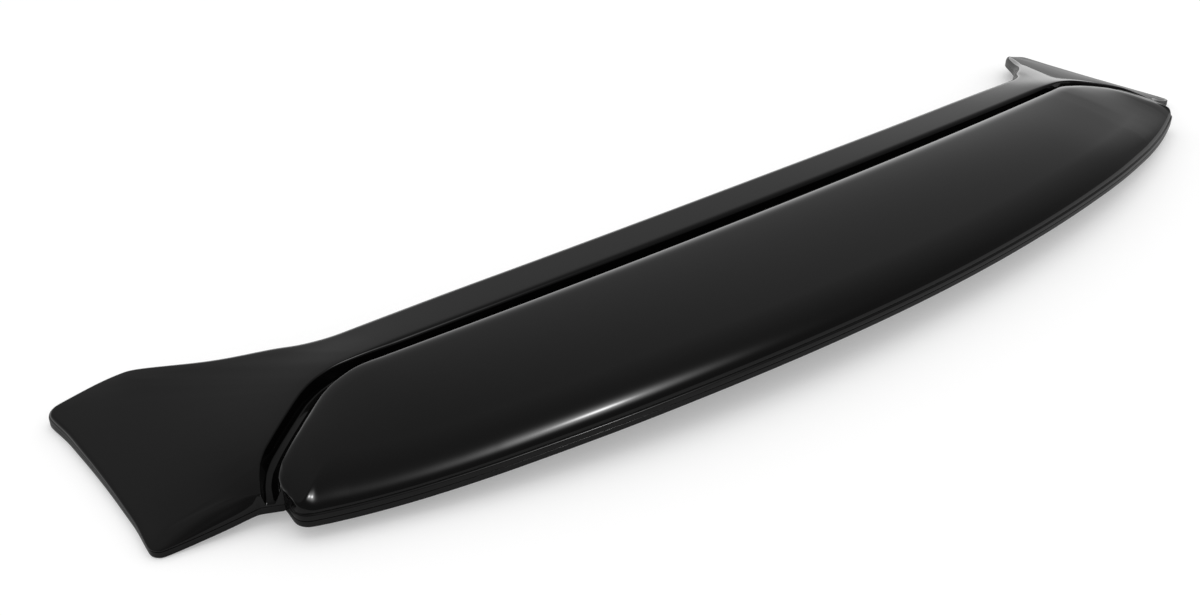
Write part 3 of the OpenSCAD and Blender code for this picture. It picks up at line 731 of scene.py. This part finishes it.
# Studio. The lamp and a plain world light the part and the floor. What the gloss mirrors is a dim surround
# with a bright strip at the horizon behind the part, and lobes as azimuth, elevation, sharpness and level:
# three make one round lamp on the camera's side, and the last is a wide faint one behind the part. The
# camera sees the floor with a share of even white, for a pale shadow
studio = {"plain": 0.88, "dim": 0.11, "horizon": 1.2, "horizonFall": 25.0, "horizonAt": 15,
          "horizonEdge": (0.24, 0.66),
          "lobes": [(161, 53, 600, 20.0), (162, 53, 65, 6.0), (162, 53, 20, 0.4), (25, 40, 2.0, 0.17)],
          "floorSeen": 1.04, "floorMirrored": 0.34, "paleness": 0.3, "floorHalf": 6}
lamp = {"place": (0.1, 0.1, 2.2), "width": 2.6, "depth": 2.0, "power": 9}


def towards(tree, ray, way):
    # How far the ray points that way, nothing when it points away
    node = tree.nodes.new("ShaderNodeVectorMath")
    node.operation = "DOT_PRODUCT"
    tree.links.new(ray, node.inputs[0])
    node.inputs[1].default_value = way
    return mathNode(tree, "MAXIMUM", node.outputs["Value"], 0.0)


def backdrop(tree, strength):
    # Even white of that strength
    node = tree.nodes.new("ShaderNodeBackground")
    node.inputs["Color"].default_value = (1, 1, 1, 1)
    feed(tree, node.inputs["Strength"], strength)
    return node.outputs[0]


def chosen(tree, amount, a, b):
    # Shader a, with that amount of shader b in its place
    node = tree.nodes.new("ShaderNodeMixShader")
    feed(tree, node.inputs["Fac"], amount)
    tree.links.new(a, node.inputs[1])
    tree.links.new(b, node.inputs[2])
    return node.outputs[0]


def mirroredLight(tree, ray):
    # Dim, a strip that fades with the square of the ray's height, and each lobe as a power
    height = towards(tree, ray, (0, 0, 1))
    square = mathNode(tree, "MULTIPLY", height, height)
    glow = mathNode(tree, "EXPONENT", mathNode(tree, "MULTIPLY", square, -studio["horizonFall"]))
    behind = tree.nodes.new("ShaderNodeMapRange")
    behind.interpolation_type = "SMOOTHSTEP"
    for name, value in zip(("From Min", "From Max"), studio["horizonEdge"]):
        behind.inputs[name].default_value = value
    tree.links.new(towards(tree, ray, direction(studio["horizonAt"], 0)), behind.inputs["Value"])
    strip = mathNode(tree, "MULTIPLY", glow, behind.outputs[0])
    light = mathNode(tree, "ADD", mathNode(tree, "MULTIPLY", strip, studio["horizon"]), studio["dim"])
    for azimuth, elevation, sharp, level in studio["lobes"]:
        lobe = mathNode(tree, "POWER", towards(tree, ray, direction(azimuth, elevation)), sharp)
        light = mathNode(tree, "ADD", light, mathNode(tree, "MULTIPLY", lobe, level))
    return light


scene.world = bpy.data.worlds.new("studio")
scene.world.use_nodes = True
tree = scene.world.node_tree
tree.nodes.clear()
rays = tree.nodes.new("ShaderNodeLightPath").outputs
mirrored = mirroredLight(tree, tree.nodes.new("ShaderNodeTexCoord").outputs["Generated"])
lit = chosen(tree, rays["Is Glossy Ray"], backdrop(tree, studio["plain"]), backdrop(tree, mirrored))
tree.links.new(chosen(tree, rays["Is Camera Ray"], lit, backdrop(tree, 1.0)),
               tree.nodes.new("ShaderNodeOutputWorld").inputs["Surface"])

far = studio["floorHalf"]
floor = newPiece("floor", [(-far, -far, 0), (far, -far, 0), (far, far, 0), (-far, far, 0)], [(0, 1, 2, 3)])
ground = bpy.data.materials.new("floor")
ground.use_nodes = True
tree = ground.node_tree
tree.nodes.clear()
whites = []
for level in (studio["floorMirrored"], studio["floorSeen"]):
    paper = tree.nodes.new("ShaderNodeBsdfDiffuse")
    paper.inputs["Color"].default_value = (level, level, level, 1)
    whites.append(paper.outputs[0])
even = tree.nodes.new("ShaderNodeEmission").outputs[0]
whites[1] = chosen(tree, studio["paleness"], whites[1], even)
seen = tree.nodes.new("ShaderNodeLightPath").outputs["Is Camera Ray"]
tree.links.new(chosen(tree, seen, *whites), tree.nodes.new("ShaderNodeOutputMaterial").inputs["Surface"])
floor.data.materials.append(ground)

panel = bpy.data.lights.new("top_panel", "AREA")
panel.shape, panel.energy = "RECTANGLE", lamp["power"]
panel.size, panel.size_y = lamp["width"], lamp["depth"]
top = aimed(bpy.data.objects.new("top_panel", panel), lamp["place"], -Vector(lamp["place"]))
top.visible_glossy = False
print("studio set with", len(studio["lobes"]), "lobes and", top.name)
